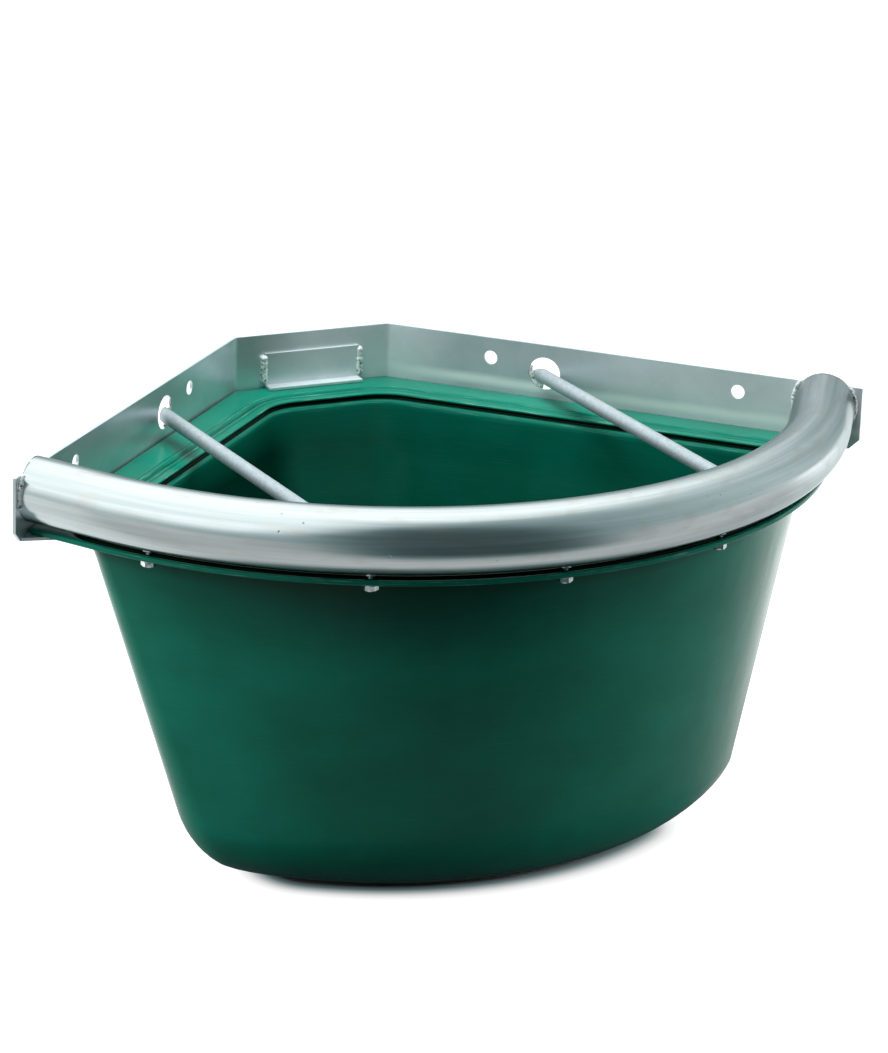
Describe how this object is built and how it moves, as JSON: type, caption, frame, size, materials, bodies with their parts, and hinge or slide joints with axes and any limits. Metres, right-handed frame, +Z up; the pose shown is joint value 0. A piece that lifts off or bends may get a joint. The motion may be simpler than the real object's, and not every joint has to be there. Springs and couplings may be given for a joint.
{
  "type": "horse feed bowl",
  "caption": "Corner feed manger: a deep green moulded bowl in a galvanised wall frame, with a thick curved front tube and two anti-tip bars over its mouth.",
  "frame": {"origin": "centre of the bounding box's underside, on the level of the bowl's flat base", "axes": "+Z up; the right leg lies flat on a wall that faces -Y, the left leg on a wall that faces +X; the walls' corner is at -X +Y and the curved front at +X -Y"},
  "size_m": [0.6326, 0.6326, 0.4095],
  "materials": {
    "green_plastic": "satin moulded polyethylene",
    "galvanised_sheet": "hot-dip galvanised",
    "galvanised_tube": "hot-dip galvanised",
    "galvanised_bar": "hot-dip galvanised",
    "galvanised_weld": "hot-dip galvanised",
    "zinc_fastener": "zinc plated"
  },
  "bodies": {
    "root": {"feed_bowl": "green_plastic", "wall_frame": "galvanised_sheet", "front_tube": "galvanised_tube", "hold_down_clip": "galvanised_sheet", "left_bar": "galvanised_bar", "left_bar_weld": "galvanised_weld", "left_bar_tack": "galvanised_weld", "left_clip_weld": "galvanised_weld", "left_tube_weld_front": "galvanised_weld", "left_tube_weld_rear": "galvanised_weld", "right_bar": "galvanised_bar", "right_bar_weld": "galvanised_weld", "right_bar_tack": "galvanised_weld", "right_clip_weld": "galvanised_weld", "right_tube_weld_front": "galvanised_weld", "right_tube_weld_rear": "galvanised_weld", "rim_bolt_1": "zinc_fastener", "rim_washer_1": "zinc_fastener", "tube_nut_1": "zinc_fastener", "rim_bolt_2": "zinc_fastener", "rim_washer_2": "zinc_fastener", "tube_nut_2": "zinc_fastener", "rim_bolt_3": "zinc_fastener", "rim_washer_3": "zinc_fastener", "tube_nut_3": "zinc_fastener", "rim_bolt_4": "zinc_fastener", "rim_washer_4": "zinc_fastener", "tube_nut_4": "zinc_fastener", "rim_bolt_5": "zinc_fastener", "rim_washer_5": "zinc_fastener", "tube_nut_5": "zinc_fastener"}
  },
  "joints": []
}
